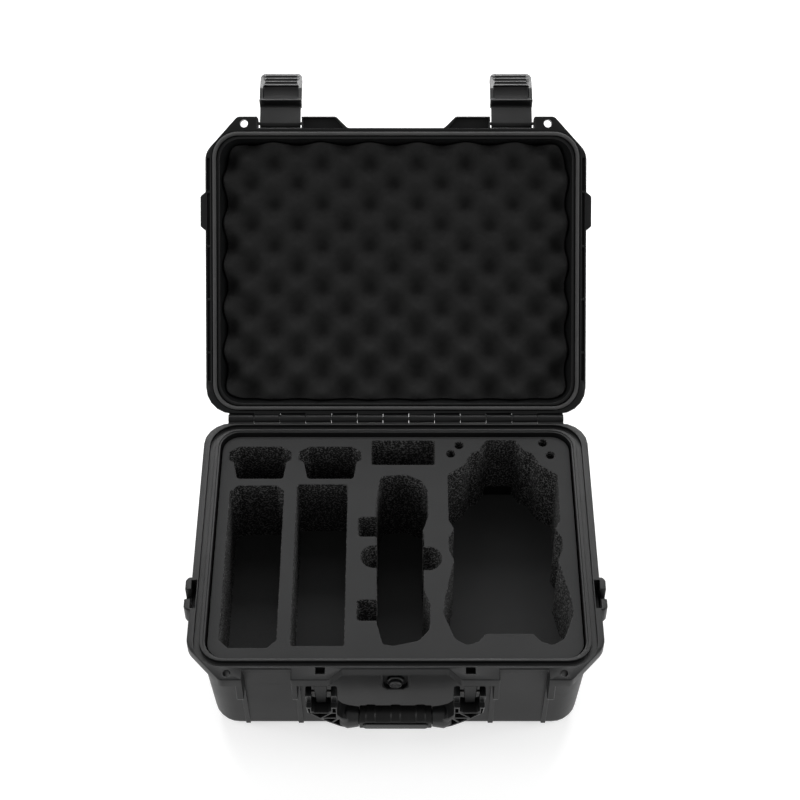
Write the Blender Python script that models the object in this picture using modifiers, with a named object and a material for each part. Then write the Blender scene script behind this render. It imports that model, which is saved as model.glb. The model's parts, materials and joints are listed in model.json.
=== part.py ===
"""Hard carrying case for a folding camera drone, standing open.

Metres, +Z up, +X to the right, front wall towards -Y. The origin is the centre of the base's underside.
The lid and latches are modelled as they sit when the case is shut, and are then turned open about their pins.
"""

import math

import bmesh
import bpy
from mathutils import Matrix, Vector

MM = 0.001

# Driving dimensions
RIM_X = 172 * MM              # half width of the rim
RIM_Y = 129 * MM              # half depth of the rim
LUG_Y = 139.3 * MM            # how far forward the front lugs reach
BASE_HEIGHT = 115 * MM        # floor to rim face
LID_HEIGHT = 40 * MM          # rim face to the lid's top
RIM_THICKNESS = 10.5 * MM
LID_RIM_THICKNESS = 9 * MM
WALL = 3.5 * MM
GAP = 0.4 * MM                # between the two rim faces when shut
CLEAR = 0.3 * MM              # between pieces that touch
LID_OPEN = math.radians(138)
LATCH_OPEN = math.radians(110)

# Base walls
FOOT_X, FOOT_Y = 155.5 * MM, 115.5 * MM     # half sizes at the floor
SHOULDER_X, SHOULDER_Y = 161 * MM, 122 * MM   # half sizes just under the rim
MOUTH_X, MOUTH_Y = 157 * MM, 118.3 * MM   # half sizes of the hollow at the rim
FOOT_ROUND = 10 * MM
CORNER = 21 * MM

# Seal
GROOVE_OUT_X, GROOVE_OUT_Y = 166.3 * MM, 126.3 * MM
GROOVE_IN_X, GROOVE_IN_Y = 161.5 * MM, 121.4 * MM
GROOVE_DEPTH = 3.2 * MM

# Hinge
AXIS_Y = 133.4 * MM
AXIS_Z = BASE_HEIGHT + GAP / 2
KNUCKLE_R = 4.0 * MM
PIN_R = 1.6 * MM
KNUCKLES = 13
KNUCKLE_PITCH = 23.35 * MM

# Latches
LATCH_X = 105.2 * MM          # middle of each latch
LATCH_HALF = 19.2 * MM
LATCH_Y = -134.6 * MM         # latch pivot, case shut
LATCH_Z = BASE_HEIGHT + 16 * MM
LATCH_PIN_R = 1.5 * MM

# Handle
HANDLE_Y = -134 * MM          # handle pivot
HANDLE_Z = 88 * MM
HANDLE_PIN_R = 1.7 * MM
HANDLE_FACE = -146.5 * MM     # front of the handle's arms
COLLAR_START, COLLAR_END = 30.5 * MM, 46.5 * MM
BRACKET_X = 61.2 * MM         # middle of each handle bracket
GRIP_Y, GRIP_Z = -139 * MM, 56 * MM
GRIP_R = 9.3 * MM
GRIP_HALF = 30.2 * MM
GRIP_FRONT = GRIP_Y - 8.4 * MM    # flat front of the grip
BAR_R = 6 * MM

# Valve
VALVE_Z = 87 * MM
VALVE_SEAT = -122.2 * MM      # floor of its recess

# Foam
FOAM_TOP = BASE_HEIGHT - 5 * MM
PAD_TOP = 7.6 * MM
LID_FOAM_LOW = BASE_HEIGHT + 5 * MM       # peaks of the lid's foam, case shut
LID_TOP_WALL = 4 * MM

# Lid
LID_TOP_X, LID_TOP_Y = 155.5 * MM, 117 * MM   # half sizes at the lid's top


# ---------------------------------------------------------------- scene and materials

def clear_scene():
    for obj in list(bpy.data.objects):
        bpy.data.objects.remove(obj)


def new_collection(name):
    collection = bpy.data.collections.new(name)
    bpy.context.scene.collection.children.link(collection)
    return collection


def plastic(name, colour, roughness, metallic=0.0):
    material = bpy.data.materials.new(name)
    material.use_nodes = True
    shader = material.node_tree.nodes["Principled BSDF"]
    shader.inputs["Base Color"].default_value = (*colour, 1)
    shader.inputs["Roughness"].default_value = roughness
    shader.inputs["Metallic"].default_value = metallic
    return material


# ---------------------------------------------------------------- shape helpers

def add_object(name, mesh, collection):
    obj = bpy.data.objects.new(name, mesh)
    collection.objects.link(obj)
    if collection is CUTTERS:
        obj.hide_render = True
        obj.display_type = "WIRE"
    return obj


def from_bmesh(name, bm):
    bmesh.ops.recalc_face_normals(bm, faces=bm.faces)
    mesh = bpy.data.meshes.new(name)
    bm.to_mesh(mesh)
    bm.free()
    return add_object(name, mesh, CUTTERS)


def evaluated_mesh(obj):
    bpy.context.view_layer.update()
    return bpy.data.meshes.new_from_object(obj.evaluated_get(bpy.context.evaluated_depsgraph_get()))


def tidy_mesh(mesh):
    """Welds loose seams, and merges faces that lie in one plane unless that would open the solid."""
    for flatten in (True, False):
        bm = bmesh.new()
        bm.from_mesh(mesh)
        bmesh.ops.remove_doubles(bm, verts=bm.verts, dist=0.000005)
        if flatten:
            bmesh.ops.dissolve_limit(bm, angle_limit=math.radians(0.2), verts=bm.verts, edges=bm.edges)
        bmesh.ops.recalc_face_normals(bm, faces=bm.faces)
        if not flatten or all(edge.is_manifold for edge in bm.edges):
            bm.to_mesh(mesh)
            bm.free()
            return mesh
        bm.free()


def rounded(corners, steps=5):
    """Closed outline through (x, y, radius) corners, each corner replaced by an arc."""
    outline = []
    for i, (x, y, radius) in enumerate(corners):
        here = Vector((x, y))
        before = (Vector(corners[i - 1][:2]) - here).normalized()
        after = (Vector(corners[(i + 1) % len(corners)][:2]) - here).normalized()
        if radius <= 0:
            outline.append(here)
            continue
        half = before.angle(after) / 2
        centre = here + (before + after).normalized() * (radius / math.sin(half))
        start = here + before * (radius / math.tan(half)) - centre
        sweep = (math.pi - 2 * half) * (1 if before.x * after.y - before.y * after.x < 0 else -1)
        outline += [centre + Matrix.Rotation(sweep * k / steps, 2) @ start for k in range(steps + 1)]
    return outline


def mirrored(half):
    """Whole outline from its right half, given from the front centre line to the back one."""
    return half + [(-x, y, r) for x, y, r in reversed(half)]


def scaled(corners):
    return [(x * MM, y * MM, r * MM) for x, y, r in corners]


def scaled_pairs(pairs):
    """(radius, along) pairs from millimetres to metres."""
    return [(radius * MM, along * MM) for radius, along in pairs]


def rectangle(x0, y0, x1, y1, radius=0.0):
    return [(x0, y0, radius), (x1, y0, radius), (x1, y1, radius), (x0, y1, radius)]


def ring(half_x, half_y, radius, steps=6):
    return rounded(rectangle(-half_x, -half_y, half_x, half_y, radius), steps)


def prism(name, outline, low, high, axis="Z", bevel=0.0, segments=1):
    """Flat outline made solid between low and high along an axis: a filled curve, then a mesh."""
    curve = bpy.data.curves.new(name, "CURVE")
    curve.dimensions = "2D"
    curve.fill_mode = "BOTH"
    curve.extrude = (high - low) / 2
    spline = curve.splines.new("POLY")
    spline.points.add(len(outline) - 1)
    for point, place in zip(spline.points, outline):
        point.co = (place[0], place[1], 0, 1)
    spline.use_cyclic_u = True
    guide = bpy.data.objects.new(name + "_outline", curve)
    CUTTERS.objects.link(guide)
    mesh = tidy_mesh(evaluated_mesh(guide))
    bpy.data.objects.remove(guide)
    turn = {
        "Z": Matrix.Identity(4),
        "X": Matrix(((0, 0, 1, 0), (1, 0, 0, 0), (0, 1, 0, 0), (0, 0, 0, 1))),
        "Y": Matrix(((1, 0, 0, 0), (0, 0, 1, 0), (0, 1, 0, 0), (0, 0, 0, 1))),
    }[axis]
    mesh.transform(turn @ Matrix.Translation((0, 0, (low + high) / 2)))
    if turn.determinant() < 0:
        mesh.flip_normals()
    obj = add_object(name, mesh, CUTTERS)
    if bevel:
        add_bevel(obj, bevel, segments)
    return obj


def add_bevel(obj, width, segments=1, angle=35):
    modifier = obj.modifiers.new("bevel", "BEVEL")
    modifier.width = width
    modifier.segments = segments
    modifier.limit_method = "ANGLE"
    modifier.angle_limit = math.radians(angle)
    modifier.loop_slide = False
    bake(obj)


def loft(name, sections):
    """Solid through (half_x, half_y, corner radius, z) rounded rectangles, from the lowest up."""
    bm = bmesh.new()
    rings = [
        [bm.verts.new((p.x, p.y, z)) for p in ring(half_x, half_y, radius)]
        for half_x, half_y, radius, z in sections
    ]
    count = len(rings[0])
    for low, high in zip(rings, rings[1:]):
        for i in range(count):
            j = (i + 1) % count
            bm.faces.new((low[i], low[j], high[j], high[i]))
    bm.faces.new(list(reversed(rings[0])))
    bm.faces.new(rings[-1])
    return from_bmesh(name, bm)


def tray_sections(foot, mouth, low, high, rounding, corner, steps=3):
    """Sections of a tub: a rounded foot of half sizes foot, then straight walls up to mouth."""
    sections = []
    for k in range(steps + 1):
        angle = k / steps * math.pi / 2
        inset = rounding * (1 - math.sin(angle))
        rise = rounding * (1 - math.cos(angle))
        share = rise / abs(high - low)
        z = low + math.copysign(rise, high - low)
        half_x = foot[0] + (mouth[0] - foot[0]) * share - inset
        half_y = foot[1] + (mouth[1] - foot[1]) * share - inset
        sections.append((half_x, half_y, max(corner - inset, 2 * MM), z))
    sections.append((mouth[0], mouth[1], corner, high))
    return sections


def block(name, low, high, bevel=0.0):
    bm = bmesh.new()
    bmesh.ops.create_cube(bm, size=1)
    size = [b - a for a, b in zip(low, high)]
    middle = [(a + b) / 2 for a, b in zip(low, high)]
    bmesh.ops.scale(bm, vec=size, verts=bm.verts)
    bmesh.ops.translate(bm, vec=middle, verts=bm.verts)
    obj = from_bmesh(name, bm)
    if bevel:
        add_bevel(obj, bevel)
    return obj


def rod(name, axis, centre, radius, length, sides=16, radius_end=None):
    """Cylinder, or a cone, lying along an axis."""
    bm = bmesh.new()
    bmesh.ops.create_cone(
        bm, cap_ends=True, segments=sides, radius1=radius,
        radius2=radius if radius_end is None else radius_end, depth=length,
    )
    turn = {
        "X": Matrix.Rotation(math.pi / 2, 4, "Y"),
        "Y": Matrix.Rotation(-math.pi / 2, 4, "X"),
        "Z": Matrix.Identity(4),
    }[axis]
    bmesh.ops.transform(bm, matrix=Matrix.Translation(centre) @ turn, verts=bm.verts)
    return from_bmesh(name, bm)


def turned(name, profile, axis_point, steps=24):
    """Solid of revolution about a line along Y: profile is (radius, y offset), outer side first to last."""
    bm = bmesh.new()
    places = [bm.verts.new((radius, along, 0)) for radius, along in profile]
    for a, b in zip(places, places[1:]):
        bm.edges.new((a, b))
    mesh = bpy.data.meshes.new(name)
    bm.to_mesh(mesh)
    bm.free()
    obj = add_object(name, mesh, CUTTERS)
    screw = obj.modifiers.new("turn", "SCREW")
    screw.axis = "Y"
    screw.steps = screw.render_steps = steps
    screw.use_merge_vertices = True
    screw.merge_threshold = 0.00001
    screw.use_normal_calculate = True
    bake(obj)
    bm = bmesh.new()
    bm.from_mesh(obj.data)
    bmesh.ops.remove_doubles(bm, verts=bm.verts, dist=0.00001)
    bmesh.ops.recalc_face_normals(bm, faces=bm.faces)
    bm.to_mesh(obj.data)
    bm.free()
    obj.data.transform(Matrix.Translation(axis_point))
    return obj


def bake(obj):
    """Replaces the object's mesh by its evaluated one."""
    mesh = evaluated_mesh(obj)
    obj.modifiers.clear()
    obj.data = mesh


def combine(target, others, operation):
    for other in others:
        modifier = target.modifiers.new(operation, "BOOLEAN")
        modifier.operation = operation
        modifier.solver = "EXACT"
        modifier.object = other
        bake(target)
        tidy_mesh(target.data)
        bpy.data.objects.remove(other)
    return target


def join(target, others):
    return combine(target, others, "UNION")


def cut(target, others):
    return combine(target, others, "DIFFERENCE")


def both_sides(make, *args):
    """The same shape on the right (+1) and on the left (-1)."""
    return [make(side, *args) for side in (1, -1)]


def finish_part(obj, name, material, smooth=30):
    """Names the solid, gives it its material and shading, and files it with the case's parts."""
    obj.name = name
    obj.data.name = name
    obj.data.materials.clear()
    obj.data.materials.append(material)
    obj.data.shade_smooth()
    obj.data.set_sharp_from_angle(angle=math.radians(smooth))
    for collection in obj.users_collection:
        collection.objects.unlink(obj)
    PARTS.objects.link(obj)
    obj.hide_render = False
    obj.display_type = "TEXTURED"
    return obj


# ---------------------------------------------------------------- outlines

def rim_outline():
    """Plan of both rims: rounded back corners, chamfered front ones, and lugs beside each latch."""
    half = [
        (43.5 * MM, -RIM_Y, 4 * MM), (54 * MM, -LUG_Y, 4 * MM), (85 * MM, -LUG_Y, 0.8 * MM),
        (85 * MM, -RIM_Y, 0),
        (125 * MM, -RIM_Y, 0), (125 * MM, -LUG_Y, 0.8 * MM), (143 * MM, -LUG_Y, 6 * MM),
        (RIM_X, -107 * MM, 18 * MM), (RIM_X, RIM_Y, 24 * MM),
    ]
    return rounded(mirrored(half))


def seal_ring(name, out_x, out_y, in_x, in_y, low, high):
    """Rectangular ring with round corners."""
    outer = loft(name, [(out_x, out_y, 24 * MM, low), (out_x, out_y, 24 * MM, high)])
    inner = loft(name + "_inside", [
        (in_x, in_y, 20 * MM, low - MM), (in_x, in_y, 20 * MM, high + MM)])
    return cut(outer, [inner])


def knuckle_spans(first):
    """x ranges of every second hinge knuckle, beginning with number first."""
    start = -KNUCKLES * KNUCKLE_PITCH / 2
    return [
        (start + k * KNUCKLE_PITCH + CLEAR / 2, start + (k + 1) * KNUCKLE_PITCH - CLEAR / 2)
        for k in range(first, KNUCKLES, 2)
    ]


def add_knuckles(shell, first, web_low, web_high):
    """Hinge barrels joined to the rim's back edge by a web on one side of the axis."""
    for x0, x1 in knuckle_spans(first):
        web = block("web", (x0, RIM_Y - MM, web_low), (x1, AXIS_Y, web_high))
        barrel = rod("barrel", "X", ((x0 + x1) / 2, AXIS_Y, AXIS_Z), KNUCKLE_R, x1 - x0, 16)
        join(shell, [join(barrel, [web])])
    length = KNUCKLES * KNUCKLE_PITCH + 2 * MM
    cut(shell, [rod("hinge_bore", "X", (0, AXIS_Y, AXIS_Z), PIN_R + CLEAR, length, 12)])


def padlock_hole(side, low, high, radius):
    return rod("padlock_hole", "Z", (side * 137 * MM, -133 * MM, (low + high) / 2), radius, high - low, 16)


# ---------------------------------------------------------------- base

def base_front_details(shell):
    top = BASE_HEIGHT - RIM_THICKNESS
    embed = top + MM
    for side in (1, -1):
        # ribs that run down the front wall from the lugs
        for middle, width in ((81.5, 4.4), (127, 4.0)):
            profile = rounded(scaled([(-110, 5.6, 0), (-117, 6, 1.5), (-126.2, 104, 0), (-110, 104, 0)]), 3)
            profile = [(p.x, p.y if p.y < 100 * MM else embed) for p in profile]
            centre = side * middle * MM
            join(shell, [prism("rib", profile, centre - width * MM / 2, centre + width * MM / 2, "X")])
        # guards beside the latch
        for inner, outer in ((80.3, 85.0), (125.0, 130.4)):
            guard = rounded([
                (-112 * MM, embed, 0), (-112 * MM, 79 * MM, 0), (-136.5 * MM, 79 * MM, 2.5 * MM),
                (-139 * MM, 84 * MM, 2 * MM), (-139 * MM, embed, 0)], 3)
            x0, x1 = sorted((side * inner * MM, side * outer * MM))
            join(shell, [prism("guard", guard, x0, x1, "X", 0.5 * MM)])
        # bracket that the handle's fork straddles
        bracket = rounded([
            (-112 * MM, embed, 0), (-112 * MM, 77.5 * MM, 0), (-139 * MM, 77.5 * MM, 2.5 * MM),
            (-139.3 * MM, embed, 0)], 3)
        middle = side * BRACKET_X
        bracket = prism("bracket", bracket, middle - 5.65 * MM, middle + 5.65 * MM, "X", 0.6 * MM)
        # it narrows towards its foot
        for vertex in bracket.data.vertices:
            share = min(1, max(0, (embed - vertex.co.z) / (embed - 77.5 * MM)))
            vertex.co.x = middle + (vertex.co.x - middle) * (1 - 0.28 * share)
        join(shell, [bracket])
        # lug that a shoulder strap clips to
        x0, x1 = sorted((side * 168 * MM, side * 177 * MM))
        lug = rounded([
            (side * 168 * MM, -72 * MM, 0), (side * 174.5 * MM, -72 * MM, 0), (side * 177 * MM, -69 * MM, 0),
            (side * 177 * MM, -42 * MM, 0), (side * 174.5 * MM, -39 * MM, 0), (side * 168 * MM, -39 * MM, 0)])
        lug = prism("strap_lug", lug, 97 * MM, BASE_HEIGHT, "Z", 0.7 * MM)
        throat = block("lug_throat", (x0 - MM, -61 * MM, 101.5 * MM), (x1 + MM, -51 * MM, BASE_HEIGHT + MM))
        join(shell, [cut(lug, [throat])])


def base_shell(material):
    floor_sections = tray_sections(
        (FOOT_X, FOOT_Y), (SHOULDER_X, SHOULDER_Y), 0, BASE_HEIGHT - RIM_THICKNESS + MM, FOOT_ROUND, CORNER)
    shell = loft("base_shell", floor_sections)
    rim_low = BASE_HEIGHT - RIM_THICKNESS
    join(shell, [prism("rim", rim_outline(), rim_low, BASE_HEIGHT, "Z", 0.7 * MM)])
    base_front_details(shell)
    add_knuckles(shell, 0, AXIS_Z - 5 * MM, AXIS_Z)

    hollow = tray_sections(
        (FOOT_X - WALL, FOOT_Y - WALL), (MOUTH_X, MOUTH_Y), WALL, BASE_HEIGHT + MM, 9 * MM, 17 * MM)
    ledge = loft("ledge", [
        (MOUTH_X + 1.6 * MM, MOUTH_Y + 1.4 * MM, 18.5 * MM, BASE_HEIGHT - 0.8 * MM),
        (MOUTH_X + 1.6 * MM, MOUTH_Y + 1.4 * MM, 18.5 * MM, BASE_HEIGHT + MM)])
    groove = seal_ring("groove", GROOVE_OUT_X, GROOVE_OUT_Y, GROOVE_IN_X, GROOVE_IN_Y,
                       BASE_HEIGHT - GROOVE_DEPTH, BASE_HEIGHT + MM)
    cut(shell, [loft("hollow", hollow), ledge, groove])

    for side in (1, -1):
        # the latch's hook catches under the rim's lip, so the rim is thin there
        x0, x1 = sorted((side * 85.0 * MM, side * 125.0 * MM))
        catch = block("catch", (x0, -132 * MM, rim_low - MM), (x1, -126.4 * MM, BASE_HEIGHT - 3.2 * MM))
        # square slot in the lug above the bracket
        x0, x1 = sorted((side * 57.4 * MM, side * 65.1 * MM))
        slot = block("slot", (x0, -133.4 * MM, BASE_HEIGHT - 8 * MM), (x1, -127.4 * MM, BASE_HEIGHT + MM))
        # strap slot behind the side lug, closed below by the lug's foot
        x0, x1 = sorted((side * 167.4 * MM, side * 172 * MM))
        strap = block("strap_slot", (x0, -70 * MM, 99.5 * MM), (x1, -42 * MM, BASE_HEIGHT + MM))
        pin_bore = rod("pin_bore", "X", (side * BRACKET_X, HANDLE_Y, HANDLE_Z), HANDLE_PIN_R + CLEAR, 14 * MM, 12)
        hole = padlock_hole(side, rim_low - 2 * MM, BASE_HEIGHT + 2 * MM, 3.1 * MM)
        cut(shell, [catch, slot, strap, pin_bore, hole])

    # recess for the valve, square at the top and chamfered below, in a raised frame
    frame = rounded(scaled([(-12, 105.5, 0), (-12, 82.5, 0), (-7.5, 77, 0), (7.5, 77, 0), (12, 82.5, 0),
                            (12, 105.5, 0)]))
    recess = rounded(scaled([(-10, 103, 0), (-10, 83.3, 0), (-6.5, 79, 0), (6.5, 79, 0), (10, 83.3, 0),
                             (10, 103, 0)]))
    join(shell, [prism("valve_frame", frame, -126.2 * MM, -118.5 * MM, "Y", 0.5 * MM)])
    seat = prism("valve_recess", recess, -130 * MM, VALVE_SEAT, "Y")
    bore = rod("valve_bore", "Y", (0, -118 * MM, VALVE_Z), 4.6 * MM, 20 * MM, 20)
    cut(shell, [seat, bore])
    return finish_part(shell, "base_shell", material)


# ---------------------------------------------------------------- lid (as when shut)

def lid_shell(material):
    low = BASE_HEIGHT + GAP
    rim_high = low + LID_RIM_THICKNESS
    top = BASE_HEIGHT + LID_HEIGHT
    shell = prism("lid_shell", rim_outline(), low, rim_high, "Z", 0.7 * MM)
    body = tray_sections((LID_TOP_X, LID_TOP_Y), (SHOULDER_X, SHOULDER_Y),
                         top, rim_high - MM, 10 * MM, CORNER)
    join(shell, [loft("lid_body", list(reversed(body)))])
    panel = loft("raised_panel", [
        (128 * MM, 90 * MM, 12 * MM, top - 2 * MM), (128 * MM, 90 * MM, 12 * MM, top + 0.4 * MM),
        (127 * MM, 89 * MM, 11 * MM, top + 1.2 * MM)])
    join(shell, [panel])
    for side in (1, -1):
        for inner, outer in ((81.4, 85.0), (125.0, 128.6)):
            ear = rounded([
                (-116 * MM, rim_high - MM, 0), (-139 * MM, rim_high - MM, 0), (-139.2 * MM, LATCH_Z, 4 * MM),
                (-136.5 * MM, LATCH_Z + 4.6 * MM, 3 * MM), (-116 * MM, LATCH_Z + 7 * MM, 0)], 4)
            x0, x1 = sorted((side * inner * MM, side * outer * MM))
            join(shell, [prism("ear", ear, x0, x1, "X", 0.5 * MM)])
        boss = [(side * 168 * MM, -71 * MM), (side * 172.5 * MM, -71 * MM), (side * 176.5 * MM, -67.5 * MM),
                (side * 176.5 * MM, -40.5 * MM), (side * 172.5 * MM, -37 * MM), (side * 168 * MM, -37 * MM)]
        join(shell, [prism("side_boss", boss, low, rim_high - 0.5 * MM, "Z", 0.7 * MM)])
    add_knuckles(shell, 1, AXIS_Z, AXIS_Z + 5 * MM)
    # lips over the base's knuckles, which hide the gap beside them when the lid is open
    lip_low = AXIS_Z + KNUCKLE_R + 0.5 * MM
    for x0, x1 in knuckle_spans(0):
        join(shell, [block("lip", (x0, RIM_Y - MM, lip_low), (x1, AXIS_Y + MM, lip_low + 2 * MM))])

    hollow = tray_sections(
        (LID_TOP_X - 3.1 * MM, LID_TOP_Y - 3.1 * MM), (159.2 * MM, 119.4 * MM),
        top - LID_TOP_WALL, low - MM, 8 * MM, 19 * MM)
    channel = seal_ring("channel", 166.1 * MM, 126.1 * MM, 161.3 * MM, 121.3 * MM, low - MM, low + 4.3 * MM)
    cut(shell, [loft("lid_hollow", list(reversed(hollow))), channel])

    ties = [100, 73.4, 25.4, -22.6, -71.6, -103]
    for side in (1, -1):
        # narrow lightening slots along the rim's outer edge, with ties between them
        for back, front in zip(ties, ties[1:]):
            x0, x1 = sorted((side * 167.7 * MM, side * 170.3 * MM))
            lighten = block("lighten", (x0, (front + 0.9) * MM, low - MM), (x1, (back - 0.9) * MM, low + 6 * MM))
            cut(shell, [lighten])
        # the lug beside each latch is hollow
        hollow = [(side * 47 * MM, -128.6 * MM), (side * 55 * MM, -138.1 * MM), (side * 83.9 * MM, -138.1 * MM),
                  (side * 83.9 * MM, -128.6 * MM)]
        pocket = prism("lug_pocket", hollow, low - MM, low + 7.4 * MM)
        bore = rod("latch_bore", "X", (side * LATCH_X, LATCH_Y, LATCH_Z), LATCH_PIN_R + CLEAR, 50 * MM, 12)
        cut(shell, [pocket, bore, padlock_hole(side, low - 2 * MM, rim_high + 2 * MM, 3.6 * MM)])
    return finish_part(shell, "lid_shell", material)


# ---------------------------------------------------------------- latches (as when shut)

def latch(side, material):
    """Draw latch. Its outline is drawn in a plane across the pin: (outwards is -y, towards the tip is -z)."""
    def place(out, down, radius=0.0):
        return (LATCH_Y - out * MM, LATCH_Z - down * MM, radius * MM)

    plate = rounded([
        place(5.2, -3.0, 2.0), place(5.4, 37.0, 8.0), place(8.4, 52.6, 1.0), place(4.8, 53.6, 1.0),
        place(-2.8, 34.5, 1.5), place(-3.4, 23.2, 0.8), place(-7.0, 20.9, 0.8), place(-7.0, 19.6, 0.8),
        place(1.2, 18.6, 0.8), place(1.2, 15.6, 0.8), place(-3.0, 15.0, 0.8), place(-3.0, -1.0, 2.0),
        place(-0.5, -5.0, 2.0)], 3)
    middle = side * LATCH_X
    body = prism("latch", plate, middle - LATCH_HALF, middle + LATCH_HALF, "X", 0.3 * MM)

    # waist: the hinge end is a little narrower than the grip end
    for edge in (1, -1):
        x0, x1 = sorted((middle + edge * (LATCH_HALF - 0.8 * MM), middle + edge * (LATCH_HALF + 2 * MM)))
        waist = block("waist", (x0, LATCH_Y - 9 * MM, LATCH_Z - 18 * MM), (x1, LATCH_Y + 9 * MM, LATCH_Z + 8 * MM))
        cut(body, [waist])
    # finger recess on the inner side, just above the tip
    window = block("window", (middle - 16.2 * MM, LATCH_Y - 2.6 * MM, LATCH_Z - 38.1 * MM),
                   (middle + 16.2 * MM, LATCH_Y + 6 * MM, LATCH_Z - 23.4 * MM), 1.2 * MM)
    cut(body, [window])
    # three grip grooves across the inner side of the tip
    tilt = math.atan2(0.3746, 0.9272)
    for along in (7.4, 11.7, 16.1):
        groove = block("grip_groove", (-14.4 * MM, -1.2 * MM, -0.95 * MM), (14.4 * MM, 1.2 * MM, 0.95 * MM))
        out, down = -2.8 + along * math.sin(tilt), 34.5 + along * math.cos(tilt)
        groove.data.transform(Matrix.Translation((middle, LATCH_Y - out * MM, LATCH_Z - down * MM))
                              @ Matrix.Rotation(tilt, 4, "X"))
        cut(body, [groove])
    # round the tip's corners in plan
    for edge in (1, -1):
        corner_x = middle + edge * LATCH_HALF
        tip_z = LATCH_Z - 53.8 * MM
        radius = 6.5 * MM
        arc = [(corner_x - edge * radius * (1 - math.sin(a)), tip_z + radius * (1 - math.cos(a)))
               for a in [math.radians(90 * k / 5) for k in range(6)]]
        corner = [(corner_x + edge * 2 * MM, tip_z - 2 * MM), (corner_x - edge * radius, tip_z - 2 * MM)]
        outline = corner + arc + [(corner_x + edge * 2 * MM, tip_z + radius)]
        cut(body, [prism("tip_corner", outline, LATCH_Y - 14 * MM, LATCH_Y, "Y")])
    cut(body, [rod("latch_pin_bore", "X", (middle, LATCH_Y, LATCH_Z), LATCH_PIN_R + CLEAR, 44 * MM, 12)])
    return finish_part(body, "latch_right" if side > 0 else "latch_left", material)


def latch_pin(side, material):
    pin = rod("pin", "X", (side * 105 * MM, LATCH_Y, LATCH_Z), LATCH_PIN_R, 46 * MM, 12)
    return finish_part(pin, "latch_pin_right" if side > 0 else "latch_pin_left", material)


# ---------------------------------------------------------------- handle

def handle_arm(side):
    """Forked, trussed arm: a plate in the plane of the front wall with pockets cut in its face."""
    def flip(corners):
        return rounded([(side * x * MM, z * MM, r * MM) for x, z, r in corners], 4)

    back = -131.5 * MM
    outline = flip([
        (47.9, 93, 2), (53, 93, 1), (53, 75.5, 3), (69.1, 75.5, 3), (69.1, 93, 1), (74.4, 93, 2), (72.2, 74.5, 2),
        (60, 62.4, 5), (47, 53, 6), (38.5, 49.3, 0), (38.5, 62.5, 0), (44, 65.5, 4), (47.9, 71, 4)])
    arm = prism("arm", outline, HANDLE_FACE, back, "Y", 0.6 * MM)
    # the fork is thinner at the pivot, so that it turns clear of the wall
    x0, x1 = sorted((side * 44 * MM, side * 77 * MM))
    thin_front = block("thin_front", (x0, HANDLE_FACE - MM, 83.5 * MM), (x1, HANDLE_Y - 7.2 * MM, 98 * MM))
    cut(arm, [thin_front])
    pockets = [
        [(49.1, 81.5, 0), (49.1, 75.2, 0), (51.8, 75.2, 0), (51.8, 81.5, 0)],
        [(70.3, 81.5, 0), (70.3, 74.2, 0), (71.2, 74.9, 0), (72.1, 81.5, 0)],
        [(54.4, 73.9, 0), (62.2, 66.4, 0), (69.4, 73.9, 0)],
        [(49.1, 73.8, 0), (49.1, 67.2, 0), (59.6, 67.2, 0), (52.6, 73.8, 0)],
        [(59.4, 65.6, 0), (48.4, 65.6, 0), (53.2, 59.6, 0), (58.6, 63.6, 0)],
        [(46.8, 64.6, 0), (41.6, 56.0, 0), (44.4, 53.6, 0), (52.0, 58.6, 0)],
    ]
    for corners in pockets:
        cut(arm, [prism("truss_pocket", flip(corners), HANDLE_FACE - MM, HANDLE_FACE + 9.5 * MM, "Y")])
    return arm


def handle_frame(material):
    frame = rod("bar", "X", (0, GRIP_Y, GRIP_Z), BAR_R, 90 * MM, 20)
    for side in (1, -1):
        # the collar swells in the middle, where the arm grows out of it
        swell = COLLAR_START + 9.5 * MM
        widest = GRIP_R + 0.4 * MM
        spans = ((COLLAR_START, GRIP_R - MM, swell, widest), (swell, widest, COLLAR_END, 7 * MM))
        for start, near, end, far in spans:
            centre = (side * (start + end) / 2, GRIP_Y, GRIP_Z)
            ends = (near, far) if side > 0 else (far, near)
            join(frame, [rod("collar", "X", centre, ends[0], end - start, 24, ends[1])])
        join(frame, [handle_arm(side)])
        bore = rod("fork_bore", "X", (side * BRACKET_X, HANDLE_Y, HANDLE_Z), HANDLE_PIN_R + CLEAR, 40 * MM, 12)
        cut(frame, [bore])
    return finish_part(frame, "handle_frame", material)


def handle_grip(material):
    """Sleeve with three raised bands, flat in front where the inlay sits."""
    sleeve = rod("sleeve", "X", (0, GRIP_Y, GRIP_Z), GRIP_R, 2 * GRIP_HALF, 24)
    for k in (-1, 0, 1):
        centre = (k * 20.8 * MM, GRIP_Y, GRIP_Z)
        join(sleeve, [rod("band", "X", centre, GRIP_R + 0.7 * MM, 7.6 * MM, 24)])
    reach = GRIP_HALF + MM
    flat = block("flat", (-reach, GRIP_FRONT - 5 * MM, GRIP_Z - 12 * MM), (reach, GRIP_FRONT, GRIP_Z + 12 * MM))
    inside = rod("inside", "X", (0, GRIP_Y, GRIP_Z), BAR_R + CLEAR, 2 * reach, 20)
    cut(sleeve, [flat, inside])
    return finish_part(sleeve, "handle_grip", material)


def handle_inlay(material):
    half, radius = 27.2 * MM, 3.4 * MM
    outline = rounded(rectangle(-half, GRIP_Z - radius, half, GRIP_Z + radius, radius * 0.98), 6)
    low = GRIP_FRONT - CLEAR
    inlay = prism("inlay", outline, low - 1.1 * MM, low, "Y", 0.35 * MM)
    return finish_part(inlay, "handle_inlay", material)


def handle_pin(side, material):
    pin = rod("pin", "X", (side * BRACKET_X, HANDLE_Y, HANDLE_Z), HANDLE_PIN_R, 24.4 * MM, 12)
    return finish_part(pin, "handle_pin_right" if side > 0 else "handle_pin_left", material)


# ---------------------------------------------------------------- valve

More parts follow.
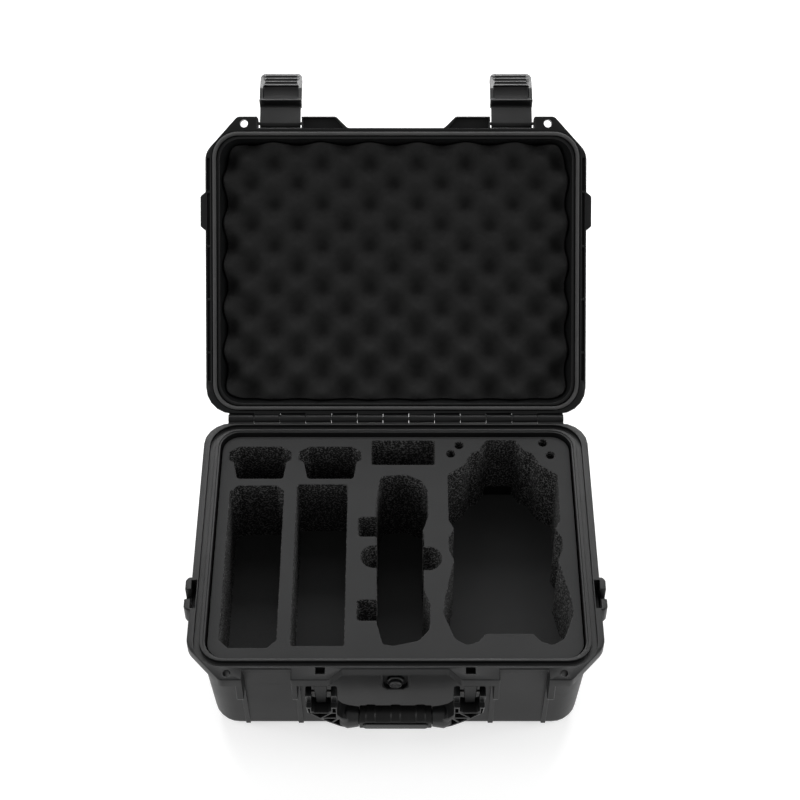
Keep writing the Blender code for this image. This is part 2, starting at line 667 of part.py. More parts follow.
def valve(plastic_dark, rubber):
    """Purge valve: flanged tail through the wall, O-ring, nut inside and a knob in front."""
    place = (0, VALVE_SEAT, VALVE_Z)
    body = turned("valve_body", scaled_pairs([
        (0, -2.2), (5.6, -2.2), (5.8, -2.8), (6.6, -2.8), (7.4, -2.0), (7.4, -0.9), (4.2, -0.9), (4.2, 9.2),
        (0, 9.2)]), place)
    oring = turned("valve_oring", scaled_pairs([
        (4.6, -0.6), (6.4, -0.6), (6.4, -0.25), (4.6, -0.25), (4.6, -0.6)]), place)
    knob = turned("valve_knob", scaled_pairs([
        (0, -5.6), (1.6, -5.6), (1.9, -4.9), (2.9, -4.9), (3.2, -5.6), (4.2, -5.6), (5.2, -4.9), (5.2, -2.5),
        (0, -2.5)]), place)
    nut = rod("valve_nut", "Y", (0, -112.9 * MM, VALVE_Z), 8.2 * MM, 3.4 * MM, 6)
    cut(nut, [rod("nut_bore", "Y", (0, -112.9 * MM, VALVE_Z), 4.5 * MM, 8 * MM, 20)])
    finish_part(body, "valve_body", plastic_dark)
    finish_part(oring, "valve_oring", rubber)
    finish_part(nut, "valve_nut", plastic_dark)
    return finish_part(knob, "valve_knob", plastic_dark)


# ---------------------------------------------------------------- foam

def battery_pocket(shift):
    """Pocket for one battery, wider where its shoulders are."""
    corners = [(-140.8, 69.4, 3), (-100, 69.4, 3), (-97.8, 88, 1), (-93.7, 90.5, 1), (-93.7, 99, 2),
               (-102, 105, 3), (-140, 105, 3), (-149.2, 99, 2), (-149.2, 90.5, 1), (-144.6, 88, 1)]
    return [(x + shift, y, r) for x, y, r in corners]


def drone_pocket():
    """Pocket for the folded drone: hull, side arms and the two front rotors. Drawn about x = 94.5."""
    middle = 94.5
    half = [(0, -91.8, 0), (19.6, -91.8, 3), (26, -99.4, 3), (35.5, -103, 6), (45.5, -96.2, 8), (54.3, -72, 10),
            (52.6, -56, 8), (44.3, -18, 5), (48.6, -7.5, 3), (49, 4.5, 3), (43.4, 14.5, 5), (48.4, 24, 4),
            (48.6, 73.2, 3), (34.5, 83.5, 4), (27.2, 97.3, 3), (20.2, 100.4, 3), (12.8, 112.6, 3)]
    right = [(middle + x, y, r) for x, y, r in half]
    left = [(middle - x, y, r) for x, y, r in half[1:]]
    return right + list(reversed(left))


def foam_pockets():
    """(outline, depth) of every cut-out in the base foam, in millimetres."""
    trio = [(-138, -105.5, 2), (-106, -105.5, 2), (-98.5, -98, 2), (-98.5, 55, 2), (-105, 61.3, 2),
            (-139, 61.3, 2), (-146, 55, 2), (-146, -98, 2)]
    charger = rectangle(-87, -103.6, -42.5, 62.5, 2)
    props = rectangle(-21.8, 85, 34.8, 112, 2)
    controller = [(-12, 71.5, 3), (8.6, 73.5, 4), (22.8, 66.4, 5), (27.8, 56, 5), (28.5, 29.6, 4), (23.5, 13, 3),
                  (24, -48, 3), (29.2, -64.7, 4), (28.3, -87.3, 6), (19.3, -98.5, 6), (-2, -103.6, 6),
                  (-10.5, -102, 3), (-15.7, -81.3, 3), (-16.6, 46, 3), (-14.6, 65, 3)]
    stick_low = rectangle(-32.5, -79, -14, -58.6, 3)
    stick_high = rectangle(-32.5, 6.7, -14, 27.1, 3)
    return [
        (battery_pocket(0), 75), (battery_pocket(62.5), 75), (trio, 75), (charger, 70), (props, 45),
        (controller, 88), (stick_low, 40), (stick_high, 40), (drone_pocket(), 80),
    ]


def base_foam(material):
    inner = MOUTH_X - (BASE_HEIGHT - FOAM_TOP) * 0.06 - 1.2 * MM
    inner_y = MOUTH_Y - (BASE_HEIGHT - FOAM_TOP) * 0.06 - 1.2 * MM
    low = PAD_TOP + CLEAR
    foam = loft("base_foam", [
        (FOOT_X - WALL - 3.2 * MM, FOOT_Y - WALL - 3.2 * MM, 14 * MM, low),
        (FOOT_X - WALL - 1.0 * MM, FOOT_Y - WALL - 1.0 * MM, 15 * MM, low + 6 * MM),
        (inner, inner_y, 16 * MM, FOAM_TOP)])
    for outline, depth in foam_pockets():
        cutter = prism("pocket", rounded(scaled(outline), 3), FOAM_TOP - depth * MM, FOAM_TOP + 2 * MM)
        cut(foam, [cutter])
    holes = [(27.5, -16.4, 12, 88), (-18.5, -14.5, 11.5, 60), (56.7, 106.9, 4, 15), (49.2, 97.3, 4, 15),
             (132.1, 109.6, 4, 15), (138.2, 95.6, 4, 15)]
    for x, y, radius, depth in holes:
        centre = (x * MM, y * MM, FOAM_TOP - (depth - 2) / 2 * MM)
        cut(foam, [rod("round_hole", "Z", centre, radius * MM, (depth + 2) * MM, 20)])
    # room for the valve's nut
    cut(foam, [block("nut_room", (-11 * MM, -125 * MM, 76 * MM), (11 * MM, -109 * MM, 98 * MM))])
    return finish_part(foam, "base_foam", material)


def base_floor_pad(material):
    pad = loft("pad", [
        (FOOT_X - WALL - 8 * MM, FOOT_Y - WALL - 8 * MM, 10 * MM, WALL + CLEAR),
        (FOOT_X - WALL - 4.6 * MM, FOOT_Y - WALL - 4.6 * MM, 13 * MM, PAD_TOP)])
    return finish_part(pad, "base_floor_pad", material)


def lid_foam(material):
    top = BASE_HEIGHT + LID_HEIGHT - LID_TOP_WALL - CLEAR
    foam = loft("lid_foam", [
        (156.6 * MM, 117.2 * MM, 18.5 * MM, LID_FOAM_LOW),
        (153.2 * MM, 114.5 * MM, 18.5 * MM, top - 9 * MM),
        (143.2 * MM, 104.6 * MM, 12 * MM, top)])
    return finish_part(foam, "lid_foam", material)


def lid_gasket(material):
    """Foam-rubber ring that stands out of the lid's channel and presses into the base's groove."""
    low = BASE_HEIGHT - GROOVE_DEPTH + CLEAR
    gasket = seal_ring("gasket", 165.3 * MM, 125.3 * MM, 162.2 * MM, 122.2 * MM,
                       low, BASE_HEIGHT + GAP + 4.3 * MM - CLEAR)
    return finish_part(gasket, "lid_gasket", material)


# ---------------------------------------------------------------- assembly

def pivot(name, place, parent=None):
    empty = bpy.data.objects.new(name, None)
    PARTS.objects.link(empty)
    empty.empty_display_size = 0.02
    empty.location = place
    if parent:
        empty.parent = parent
        empty.matrix_parent_inverse = Matrix.Translation(-Vector(parent.location))
    return empty


def hang(children, empty):
    """Parents solids, modelled in the case's own frame, to an empty on their axis."""
    for child in children:
        child.parent = empty
        child.matrix_parent_inverse = Matrix.Translation(-Vector(empty.location))


def build():
    shell_plastic = plastic("shell_plastic", (0.022, 0.022, 0.024), 0.52)
    part_plastic = plastic("part_plastic", (0.026, 0.026, 0.028), 0.48)
    foam = plastic("foam", (0.030, 0.030, 0.031), 0.95)
    soft_foam = plastic("lid_foam", (0.020, 0.020, 0.021), 0.95)
    seal_rubber = plastic("seal_rubber", (0.06, 0.06, 0.062), 0.8)
    grip_rubber = plastic("grip_rubber", (0.018, 0.018, 0.019), 0.6)
    steel = plastic("pin_steel", (0.55, 0.55, 0.56), 0.3, 1.0)

    base_shell(shell_plastic)
    base_foam(foam)
    base_floor_pad(foam)
    pin = rod("hinge_pin", "X", (0, AXIS_Y, AXIS_Z), PIN_R, KNUCKLES * KNUCKLE_PITCH - MM, 12)
    finish_part(pin, "hinge_pin", steel)

    lid_parts = [lid_shell(shell_plastic), lid_foam(soft_foam), lid_gasket(seal_rubber)]
    lid_parts += both_sides(latch_pin, steel)
    lid_pivot = pivot("lid_pivot", (0, AXIS_Y, AXIS_Z))
    hang(lid_parts, lid_pivot)
    for side in (1, -1):
        latch_pivot = pivot("latch_pivot", (side * LATCH_X, LATCH_Y, LATCH_Z), lid_pivot)
        hang([latch(side, part_plastic)], latch_pivot)
        latch_pivot.rotation_euler.x = -LATCH_OPEN
    lid_pivot.rotation_euler.x = -LID_OPEN

    handle_parts = [handle_frame(part_plastic), handle_grip(grip_rubber), handle_inlay(part_plastic)]
    handle_parts += both_sides(handle_pin, steel)
    hang(handle_parts, pivot("handle_pivot", (0, HANDLE_Y, HANDLE_Z)))

    knob = valve(part_plastic, seal_rubber)
    hang([knob], pivot("valve_pivot", (0, VALVE_SEAT, VALVE_Z)))


clear_scene()
PARTS = new_collection("drone_carrying_case")
CUTTERS = new_collection("cutters")
build()
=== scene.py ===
import json
import math

import bmesh
import bpy
from mathutils import Matrix, Vector, noise

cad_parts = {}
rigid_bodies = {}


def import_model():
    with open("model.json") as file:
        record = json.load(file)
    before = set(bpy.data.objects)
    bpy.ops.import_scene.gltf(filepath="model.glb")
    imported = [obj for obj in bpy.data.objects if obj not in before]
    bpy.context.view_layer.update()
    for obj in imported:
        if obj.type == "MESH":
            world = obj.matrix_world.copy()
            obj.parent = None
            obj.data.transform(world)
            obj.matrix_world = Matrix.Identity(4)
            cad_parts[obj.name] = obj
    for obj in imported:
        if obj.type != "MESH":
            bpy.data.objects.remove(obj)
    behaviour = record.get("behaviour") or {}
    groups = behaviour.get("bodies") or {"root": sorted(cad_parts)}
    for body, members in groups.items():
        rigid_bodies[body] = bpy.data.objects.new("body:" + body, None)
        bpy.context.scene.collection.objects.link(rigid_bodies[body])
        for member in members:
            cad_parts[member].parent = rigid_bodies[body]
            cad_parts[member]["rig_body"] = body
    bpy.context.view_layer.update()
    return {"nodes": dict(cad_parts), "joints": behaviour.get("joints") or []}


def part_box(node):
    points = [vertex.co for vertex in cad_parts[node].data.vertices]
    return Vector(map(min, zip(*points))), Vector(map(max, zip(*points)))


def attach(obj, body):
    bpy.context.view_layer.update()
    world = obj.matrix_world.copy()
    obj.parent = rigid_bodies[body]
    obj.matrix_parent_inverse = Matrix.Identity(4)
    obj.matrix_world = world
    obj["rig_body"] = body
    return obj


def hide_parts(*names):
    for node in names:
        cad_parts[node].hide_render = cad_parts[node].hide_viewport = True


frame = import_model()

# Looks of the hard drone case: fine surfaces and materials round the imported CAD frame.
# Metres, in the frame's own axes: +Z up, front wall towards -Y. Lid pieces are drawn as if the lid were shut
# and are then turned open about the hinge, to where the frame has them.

MM = 0.001

# Camera
CAMERA_PLACE = (0.0037, -0.8898, 1.3689)
CAMERA_TILT = math.radians(39.82)
CAMERA_LENS = 80.33

# Rounding of moulded edges
EDGE = 0.35 * MM
FINE_EDGE = 0.25 * MM

# Convoluted foam in the lid
EGG_PITCH_X = 43.9 * MM
EGG_PITCH_Y = 38.6 * MM
EGG_SHIFT_X = 1.9 * MM
EGG_SHIFT_Y = 82.4 * MM
EGG_DEPTH = 16 * MM
EGG_STEP = 2.2 * MM
EGG_CORNER = 18.5 * MM
EGG_SLAB = 9 * MM             # straight-sided part of the sheet, next to the lid
EGG_SLAB_HALF = (153.2 * MM, 114.5 * MM)
EGG_BACK_HALF = (143.2 * MM, 104.6 * MM)

# Lid gasket
GASKET_WIDTH = 3.1 * MM
GASKET_CORNER = 23 * MM

# Handle grip
GRIP_BANDS = (-20.8 * MM, 0.0, 20.8 * MM)
GRIP_BAND_HALF = 3.8 * MM
GRIP_BAND_RISE = 0.7 * MM
GRIP_BORE = 6.3 * MM
GRIP_ROLL = 0.9 * MM          # rounding of the sleeve's ends and of the bands' edges


# ---------------------------------------------------------------- the shut frame

def find_joint(name):
    return next(joint for joint in frame["joints"] if joint["name"] == name)


def lid_opening():
    """Turns a point of the shut lid to where the open lid has it."""
    hinge = find_joint("lid_hinge")
    place = Matrix.Translation(hinge["pos_m"])
    angle = -math.radians(hinge["range_deg"][1])
    return place @ Matrix.Rotation(angle, 4, Vector(hinge["axis"])) @ place.inverted()


OPEN_LID = lid_opening()


def shut_box(node):
    """Box of a lid node as it is when the lid is shut."""
    shut = OPEN_LID.inverted()
    corners = [shut @ vertex.co for vertex in frame["nodes"][node].data.vertices]
    low = Vector([min(corner[k] for corner in corners) for k in range(3)])
    high = Vector([max(corner[k] for corner in corners) for k in range(3)])
    return low, high


# ---------------------------------------------------------------- materials

class Nodes:
    """A material's node tree, built by naming each node's inputs."""

    def __init__(self, name):
        self.material = bpy.data.materials.new(name)
        self.material.use_nodes = True
        self.tree = self.material.node_tree
        self.shader = self.tree.nodes["Principled BSDF"]
        self.place = self.add("TexCoord").outputs["Object"]

    def connect(self, socket, value):
        if isinstance(value, bpy.types.NodeSocket):
            self.tree.links.new(value, socket)
        else:
            socket.default_value = value

    def add(self, kind, inputs=None, **settings):
        made = self.tree.nodes.new("ShaderNode" + kind)
        for key, value in settings.items():
            setattr(made, key, value)
        for key, value in (inputs or {}).items():
            self.connect(made.inputs[key], value)
        return made

    def noise(self, scale, detail=2.0, roughness=0.5, place=None):
        """Value around 0.5, with lumps about 1 / scale metres across."""
        made = self.add("TexNoise", {"Vector": place or self.place, "Scale": scale, "Detail": detail,
                                     "Roughness": roughness})
        return made.outputs["Fac"]

    def cells(self, scale, place=None):
        made = self.add("TexVoronoi", {"Vector": place or self.place, "Scale": scale})
        return made.outputs["Distance"]

    def remap(self, value, low, high, to_low=0.0, to_high=1.0):
        made = self.add("MapRange", {"Value": value, "From Min": low, "From Max": high, "To Min": to_low,
                                     "To Max": to_high})
        return made.outputs["Result"]

    def math(self, operation, first, second=0.0):
        return self.add("Math", {0: first, 1: second}, operation=operation).outputs["Value"]

    def mix(self, share, first, second):
        """Colour between first and second."""
        made = self.add("Mix", data_type="RGBA")
        for socket, value in ((made.inputs[0], share), (made.inputs[6], first), (made.inputs[7], second)):
            self.connect(socket, value)
        return made.outputs[2]

    def stretched(self, scale):
        return self.add("Mapping", {"Vector": self.place, "Scale": scale}).outputs["Vector"]

    def bump(self, height, distance, strength=1.0, below=None):
        made = self.add("Bump", {"Height": height, "Distance": distance, "Strength": strength})
        if below is not None:
            self.connect(made.inputs["Normal"], below)
        return made.outputs["Normal"]

    def worn_edges(self, radius):
        """1 along edges that stand out and 0 on open faces."""
        soft = self.add("Bevel", {"Radius": radius}, samples=4).outputs["Normal"]
        flat = self.add("NewGeometry").outputs["Normal"]
        facing = self.add("VectorMath", {0: soft, 1: flat}, operation="DOT_PRODUCT").outputs["Value"]
        return self.remap(facing, 0.995, 0.80)

    def finish(self, colour, roughness, normal, **constants):
        self.connect(self.shader.inputs["Base Color"], colour)
        self.connect(self.shader.inputs["Roughness"], roughness)
        self.connect(self.shader.inputs["Normal"], normal)
        for key, value in constants.items():
            self.shader.inputs[key.replace("_", " ")].default_value = value
        return self.material


def grey(value, warmth=0.0):
    """Linear grey, a little redder with warmth above 0 and bluer below."""
    return (value * (1 + warmth), value, value * (1 - warmth), 1)


def moulded_plastic(name, value, roughness, shine, grain=0.5):
    """Spark-eroded black polypropylene: fine grain, faint flow clouds, rubbed edges and a few scuffs."""
    nodes = Nodes(name)
    clouds = nodes.noise(14, 4, 0.55)
    grains = nodes.noise(2300, 2, 0.6)
    scuffs = nodes.noise(90, 5, 0.7, nodes.stretched((0.25, 1.0, 1.0)))
    scuffed = nodes.remap(scuffs, 0.60, 0.72)
    edges = nodes.worn_edges(0.8 * MM)
    base = nodes.mix(nodes.remap(clouds, 0.3, 0.7), grey(value * 0.88, -0.03), grey(value * 1.14, -0.03))
    base = nodes.mix(nodes.math("MULTIPLY", scuffed, 0.35), base, grey(value * 2.2, -0.02))
    base = nodes.mix(nodes.math("MULTIPLY", edges, 0.55), base, grey(value * 4.0, -0.02))
    gloss = nodes.remap(clouds, 0.3, 0.7, roughness - 0.05, roughness + 0.05)
    gloss = nodes.math("ADD", gloss, nodes.math("MULTIPLY", scuffed, 0.06))
    gloss = nodes.math("SUBTRACT", gloss, nodes.math("MULTIPLY", edges, 0.10))
    normal = nodes.bump(grains, 0.05 * MM, grain)
    normal = nodes.bump(clouds, 0.6 * MM, 0.25, normal)
    return nodes.finish(base, gloss, normal, Specular_IOR_Level=shine)


def cut_foam_material():
    """Closed-cell foam: a fine matt skin on top, and open pores on the walls where it was cut."""
    nodes = Nodes("cut_foam_surface")
    facing = nodes.add("SeparateXYZ", {0: nodes.add("TexCoord").outputs["Normal"]}).outputs["Z"]
    wall = nodes.remap(facing, 0.85, 0.5)
    clouds = nodes.noise(22, 4, 0.6)
    grains = nodes.noise(1500, 3, 0.65)
    pores = nodes.cells(680)
    skin = nodes.mix(nodes.remap(clouds, 0.3, 0.7), grey(0.018, -0.01), grey(0.023, -0.01))
    skin = nodes.mix(nodes.remap(grains, 0.35, 0.65), skin, grey(0.031, -0.01))
    inside = nodes.mix(nodes.remap(pores, 0.50, 0.75), grey(0.004), grey(0.11))
    colour = nodes.mix(wall, skin, inside)
    normal = nodes.bump(nodes.mix(wall, grains, pores), 0.6 * MM, nodes.remap(wall, 0, 1, 0.3, 0.9))
    return nodes.finish(colour, nodes.remap(grains, 0.3, 0.7, 0.82, 0.98), normal, Specular_IOR_Level=0.2)


def egg_foam_material():
    """Open-cell polyurethane foam, dark and velvety."""
    nodes = Nodes("egg_foam_surface")
    clouds = nodes.noise(30, 4, 0.6)
    fuzz = nodes.noise(1700, 3, 0.7)
    pores = nodes.cells(1500)
    base = nodes.mix(nodes.remap(clouds, 0.3, 0.7), grey(0.014), grey(0.019))
    base = nodes.mix(nodes.remap(pores, 0.05, 0.6, 0.6, 0.0), base, grey(0.006))
    base = nodes.mix(nodes.remap(fuzz, 0.5, 0.75, 0.0, 0.5), base, grey(0.036))
    normal = nodes.bump(nodes.math("ADD", fuzz, pores), 0.5 * MM, 0.8)
    return nodes.finish(base, nodes.remap(clouds, 0.3, 0.7, 0.9, 0.99), normal, Specular_IOR_Level=0.15)


def rubber_material(name, value, roughness, grain_scale, grain_depth):
    """Rubber with a fine grain, uneven gloss and some dust."""
    nodes = Nodes(name)
    clouds = nodes.noise(35, 4, 0.6)
    grains = nodes.noise(grain_scale, 3, 0.6)
    dust = nodes.remap(nodes.noise(240, 5, 0.7), 0.58, 0.74)
    base = nodes.mix(nodes.remap(clouds, 0.3, 0.7), grey(value * 0.85), grey(value * 1.15))
    base = nodes.mix(nodes.math("MULTIPLY", dust, 0.3), base, grey(value * 2.0, 0.02))
    gloss = nodes.remap(clouds, 0.3, 0.7, roughness - 0.06, roughness + 0.06)
    normal = nodes.bump(grains, grain_depth, 0.6)
    return nodes.finish(base, gloss, normal, Specular_IOR_Level=0.25)


def steel_material():
    """Blackened steel wire: fine drawn lines along X, faint tarnish."""
    nodes = Nodes("pin_steel_surface")
    lines = nodes.noise(900, 3, 0.6, nodes.stretched((0.02, 1.0, 1.0)))
    tarnish = nodes.noise(120, 4, 0.6)
    base = nodes.mix(nodes.remap(tarnish, 0.4, 0.7), grey(0.12, 0.01), grey(0.07, 0.03))
    gloss = nodes.remap(lines, 0.3, 0.7, 0.22, 0.42)
    return nodes.finish(base, gloss, nodes.bump(lines, 0.03 * MM, 0.4), Metallic=1.0)


def floor_material():
    """White floor that glows a little, so that it stays white beside the case."""
    nodes = Nodes("studio_floor")
    haze = nodes.noise(3, 3, 0.5)
    base = nodes.mix(nodes.remap(haze, 0.3, 0.7), grey(0.55), grey(0.57))
    normal = nodes.bump(haze, 0.2 * MM, 0.1)
    return nodes.finish(base, 0.9, normal, Emission_Color=grey(1.0), Emission_Strength=0.60)


# ---------------------------------------------------------------- pieces

def add_piece(name, mesh, body, material, replaced):
    """A piece that rides on a body and stands for a CAD node."""
    mesh.materials.clear()
    mesh.materials.append(material)
    piece = bpy.data.objects.new(name, mesh)
    bpy.context.scene.collection.objects.link(piece)
    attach(piece, body)
    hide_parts(replaced)
    return piece


def mesh_of(name, bm, sharp=40):
    bmesh.ops.recalc_face_normals(bm, faces=bm.faces)
    mesh = bpy.data.meshes.new(name)
    bm.to_mesh(mesh)
    bm.free()
    mesh.shade_smooth()
    mesh.set_sharp_from_angle(angle=math.radians(sharp))
    return mesh


def clean_copy(node):
    """The node's mesh with its loose seams welded and its flat triangles merged, if it then stays closed."""
    for flatten in (True, False):
        bm = bmesh.new()
        bm.from_mesh(frame["nodes"][node].data)
        bmesh.ops.remove_doubles(bm, verts=bm.verts, dist=0.004 * MM)
        if flatten:
            bmesh.ops.dissolve_limit(bm, angle_limit=math.radians(0.3), verts=bm.verts, edges=bm.edges)
        if not flatten or all(edge.is_manifold for edge in bm.edges):
            bmesh.ops.triangulate(bm, faces=bm.faces)
            return bm
        bm.free()


def round_edges(piece, width, segments=2, angle=50):
    bevel = piece.modifiers.new("round", "BEVEL")
    bevel.width = width
    bevel.segments = segments
    bevel.limit_method = "ANGLE"
    bevel.angle_limit = math.radians(angle)
    bevel.use_clamp_overlap = False
    bevel.loop_slide = False
    even = piece.modifiers.new("even", "WEIGHTED_NORMAL")
    even.keep_sharp = True


def rounded_copy(node, material, width=EDGE, segments=2, angle=50):
    """The same solid as the CAD node, with its edges rounded off as a mould leaves them."""
    mesh = mesh_of(node + "_skin", clean_copy(node), 50)
    piece = add_piece(node + "_skin", mesh, frame["nodes"][node]["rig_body"], material, node)
    round_edges(piece, width, segments, angle)
    return piece


def rounded_plan(u, v, half_x, half_y, corner):
    """Place on a rounded rectangle of a point (u, v) on the square from -1 to 1."""
    x, y = abs(u) * half_x, abs(v) * half_y
    a, b = (x - half_x + corner) / corner, (y - half_y + corner) / corner
    if a > 0 and b > 0:
        x = half_x - corner + corner * a * math.sqrt(1 - b * b / 2)
        y = half_y - corner + corner * b * math.sqrt(1 - a * a / 2)
    return math.copysign(x, u), math.copysign(y, v)


def egg_height(x, y):
    """0 on the foam's peaks and 1 in its hollows."""
    wave = math.cos(math.tau * (x + EGG_SHIFT_X) / EGG_PITCH_X)
    wave *= math.cos(math.tau * (y + EGG_SHIFT_Y) / EGG_PITCH_Y)
    lumps = noise.noise(Vector((x, y, 0)) * 38) * 0.05
    return min(max((1 + wave) / 2 + lumps, 0), 1)


def egg_foam(material):
    """Convoluted sheet: peaks and hollows in staggered rows, with plain cut sides."""
    low, high = shut_box("lid_foam")
    half_x, half_y = high.x, high.y
    slab = high.z - EGG_SLAB
    sections = [(z, wide / half_x, deep / half_y)
                for z, (wide, deep) in ((slab, EGG_SLAB_HALF), (high.z, EGG_BACK_HALF))]
    count_x, count_y = round(2 * half_x / EGG_STEP), round(2 * half_y / EGG_STEP)
    bm = bmesh.new()
    rows = []
    for j in range(count_y + 1):
        row = []
        for i in range(count_x + 1):
            x, y = rounded_plan(2 * i / count_x - 1, 2 * j / count_y - 1, half_x, half_y, EGG_CORNER)
            rise = 0.2 * MM + EGG_DEPTH * egg_height(x, y)
            share = rise / (slab - low.z)
            taper_x, taper_y = (1 + (scale - 1) * share for scale in sections[0][1:])
            row.append(bm.verts.new((x * taper_x, y * taper_y, low.z + rise)))
        rows.append(row)
    for front, back in zip(rows, rows[1:]):
        for i in range(count_x):
            bm.faces.new((front[i], front[i + 1], back[i + 1], back[i]))
    rim = rows[0] + [row[-1] for row in rows[1:]] + rows[-1][-2::-1] + [row[0] for row in rows[-2:0:-1]]
    plan = [(vertex.co.x, vertex.co.y) for vertex in rim]
    loop = rim
    for z, scale_x, scale_y in sections:
        above = [bm.verts.new((x * scale_x, y * scale_y, z)) for x, y in plan]
        for k in range(len(loop)):
            after = (k + 1) % len(loop)
            bm.faces.new((loop[k], loop[after], above[after], above[k]))
        loop = above
    bm.faces.new(loop)
    bmesh.ops.transform(bm, matrix=OPEN_LID, verts=bm.verts)
    mesh = mesh_of("egg_foam_sheet", bm, 60)
    piece = add_piece("egg_foam_sheet", mesh, "lid", material, "lid_foam")
    round_edges(piece, 1.3 * MM, 3, 55)
    return piece


def corner_loop(half_x, half_y, corner, steps=10):
    """Rounded rectangle as (x, y, outward x, outward y), counter-clockwise."""
    loop = []
    for quarter in range(4):
        side_x, side_y = ((1, 1), (-1, 1), (-1, -1), (1, -1))[quarter]
        centre = Vector((side_x * (half_x - corner), side_y * (half_y - corner)))
        for k in range(steps + 1):
            angle = math.radians(90 * (quarter + k / steps))
            out = Vector((math.cos(angle), math.sin(angle)))
            loop.append((*(centre + out * corner), *out))
    return loop


def gasket(material):
    """Foamed ring with a domed face, standing out of the lid's channel."""
    low, high = shut_box("lid_gasket")
    half = GASKET_WIDTH / 2
    profile = [(-half, high.z), (-half, low.z + half)]
    profile += [(-half * math.cos(math.radians(a)), low.z + half * (1 - math.sin(math.radians(a))))
                for a in range(15, 180, 15)]
    profile += [(half, low.z + half), (half, high.z)]
    loop = corner_loop(high.x - half, high.y - half, GASKET_CORNER - half)
    bm = bmesh.new()
    rings = [[bm.verts.new((x + ox * across, y + oy * across, z)) for x, y, ox, oy in loop]
             for across, z in profile]
    for here, there in zip(rings, rings[1:] + rings[:1]):
        for k in range(len(loop)):
            after = (k + 1) % len(loop)
            bm.faces.new((here[k], here[after], there[after], there[k]))
    bmesh.ops.transform(bm, matrix=OPEN_LID, verts=bm.verts)
    return add_piece("gasket_ring", mesh_of("gasket_ring", bm), "lid", material, "lid_gasket")


def grip_radius(x, plain):
    """The sleeve's radius: three soft bands, and a rolled edge at each end."""
    rise = 0.0
    for middle in GRIP_BANDS:
        away = abs(x - middle) - GRIP_BAND_HALF + GRIP_ROLL
        rise = max(rise, 1.0 if away < 0 else 0.5 + 0.5 * math.cos(math.pi * min(away / (2 * GRIP_ROLL), 1)))
    return plain + GRIP_BAND_RISE * rise


def grip(material):
    """Soft sleeve on the handle's bar, flat in front where the inlay sits."""
    low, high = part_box("handle_grip")
    plain = (high.z - low.z) / 2 - GRIP_BAND_RISE
    centre_y = high.y - plain - GRIP_BAND_RISE
    centre_z = (low.z + high.z) / 2
    sides, steps = 56, 150
    bm = bmesh.new()
    rings = []
    for k in range(steps + 1):
        x = low.x + (high.x - low.x) * k / steps
        end = min(x - low.x, high.x - x)
        rolled = GRIP_ROLL * (1 - math.sqrt(1 - (1 - min(end / GRIP_ROLL, 1)) ** 2))
        radius = grip_radius(x, plain) - rolled
        ring = []
        for side in range(sides):
            angle = math.tau * side / sides
            y = max(centre_y + radius * math.cos(angle), low.y + rolled)
            ring.append(bm.verts.new((x, y, centre_z + radius * math.sin(angle))))
        rings.append(ring)
    for x in (high.x, low.x):
        rings.append([bm.verts.new((x, centre_y + GRIP_BORE * math.cos(math.tau * side / sides),
                                    centre_z + GRIP_BORE * math.sin(math.tau * side / sides)))
                      for side in range(sides)])
    for here, there in zip(rings, rings[1:] + rings[:1]):
        for side in range(sides):
            after = (side + 1) % sides
            bm.faces.new((here[side], here[after], there[after], there[side]))
    mesh = mesh_of("grip_sleeve", bm, 45)
    return add_piece("grip_sleeve", mesh, "handle", material, "handle_grip")


# ---------------------------------------------------------------- the case

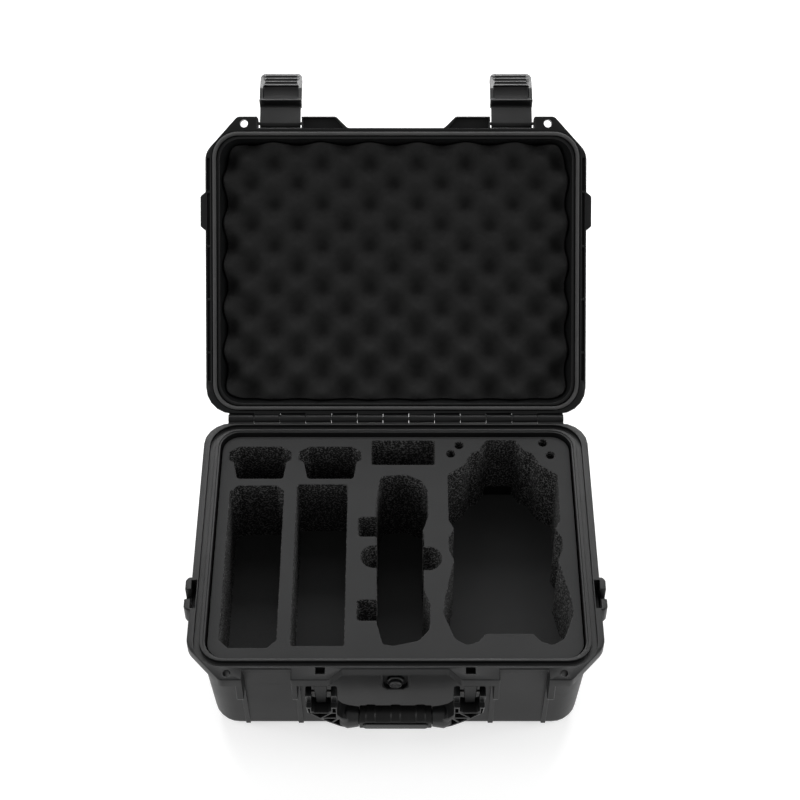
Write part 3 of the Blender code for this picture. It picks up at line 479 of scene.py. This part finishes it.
def dress_case():
    shell = moulded_plastic("shell_plastic_surface", 0.0055, 0.44, 0.22)
    part = moulded_plastic("part_plastic_surface", 0.0062, 0.35, 0.44)
    foam = cut_foam_material()
    seal = rubber_material("seal_rubber_surface", 0.050, 0.80, 1400, 0.25 * MM)
    steel = steel_material()

    for node in ("base_shell", "lid_shell"):
        rounded_copy(node, shell)
    for node in ("latch_right", "latch_left", "handle_frame"):
        rounded_copy(node, part)
    for node in ("handle_inlay", "valve_body", "valve_knob", "valve_nut"):
        rounded_copy(node, part, FINE_EDGE)
    rounded_copy("base_foam", foam, 0.9 * MM, 3, 50)
    rounded_copy("base_floor_pad", foam, 0.8 * MM, 3, 30)

    egg_foam(egg_foam_material())
    gasket(seal)
    grip(rubber_material("grip_rubber_surface", 0.005, 0.42, 900, 0.04 * MM))

    for node, material in (("hinge_pin", steel), ("latch_pin_right", steel), ("latch_pin_left", steel),
                           ("handle_pin_right", steel), ("handle_pin_left", steel), ("valve_oring", seal)):
        mesh = frame["nodes"][node].data
        mesh.materials.clear()
        mesh.materials.append(material)


# ---------------------------------------------------------------- studio

def softbox(name, place, target, width, height, power):
    light = bpy.data.lights.new(name, "AREA")
    light.shape = "RECTANGLE"
    light.size = width
    light.size_y = height
    light.energy = power
    lamp = bpy.data.objects.new(name, light)
    lamp.location = place
    lamp.rotation_euler = (Vector(target) - Vector(place)).to_track_quat("-Z", "Y").to_euler()
    bpy.context.scene.collection.objects.link(lamp)


def studio():
    mesh = bpy.data.meshes.new("floor")
    bm = bmesh.new()
    bmesh.ops.create_circle(bm, cap_ends=True, segments=64, radius=14)
    bm.to_mesh(mesh)
    bm.free()
    mesh.materials.append(floor_material())
    floor = bpy.data.objects.new("floor", mesh)
    floor.location.z = -0.2 * MM
    bpy.context.scene.collection.objects.link(floor)

    middle = (0, 0.1, 0.1)
    softbox("back_box", (0, 1.99, 1.74), middle, 2.6, 0.55, 64)
    softbox("high_back_box", (0, 1.4, 2.35), middle, 2.2, 0.9, 14)
    softbox("left_box", (-2.2, -0.3, 1.3), middle, 1.2, 1.6, 26)
    softbox("right_box", (2.2, -0.3, 1.3), middle, 1.2, 1.6, 26)

    world = bpy.data.worlds.new("studio")
    world.use_nodes = True
    background = world.node_tree.nodes["Background"]
    background.inputs["Color"].default_value = (1, 1, 1, 1)
    background.inputs["Strength"].default_value = 0.43
    bpy.context.scene.world = world
    bpy.context.scene.view_settings.view_transform = "Standard"


def camera():
    data = bpy.data.cameras.new("camera")
    data.lens = CAMERA_LENS
    data.sensor_width = 36
    eye = bpy.data.objects.new("camera", data)
    eye.location = CAMERA_PLACE
    eye.rotation_euler = (CAMERA_TILT, 0, 0)
    bpy.context.scene.collection.objects.link(eye)
    bpy.context.scene.camera = eye


camera()
studio()
dress_case()
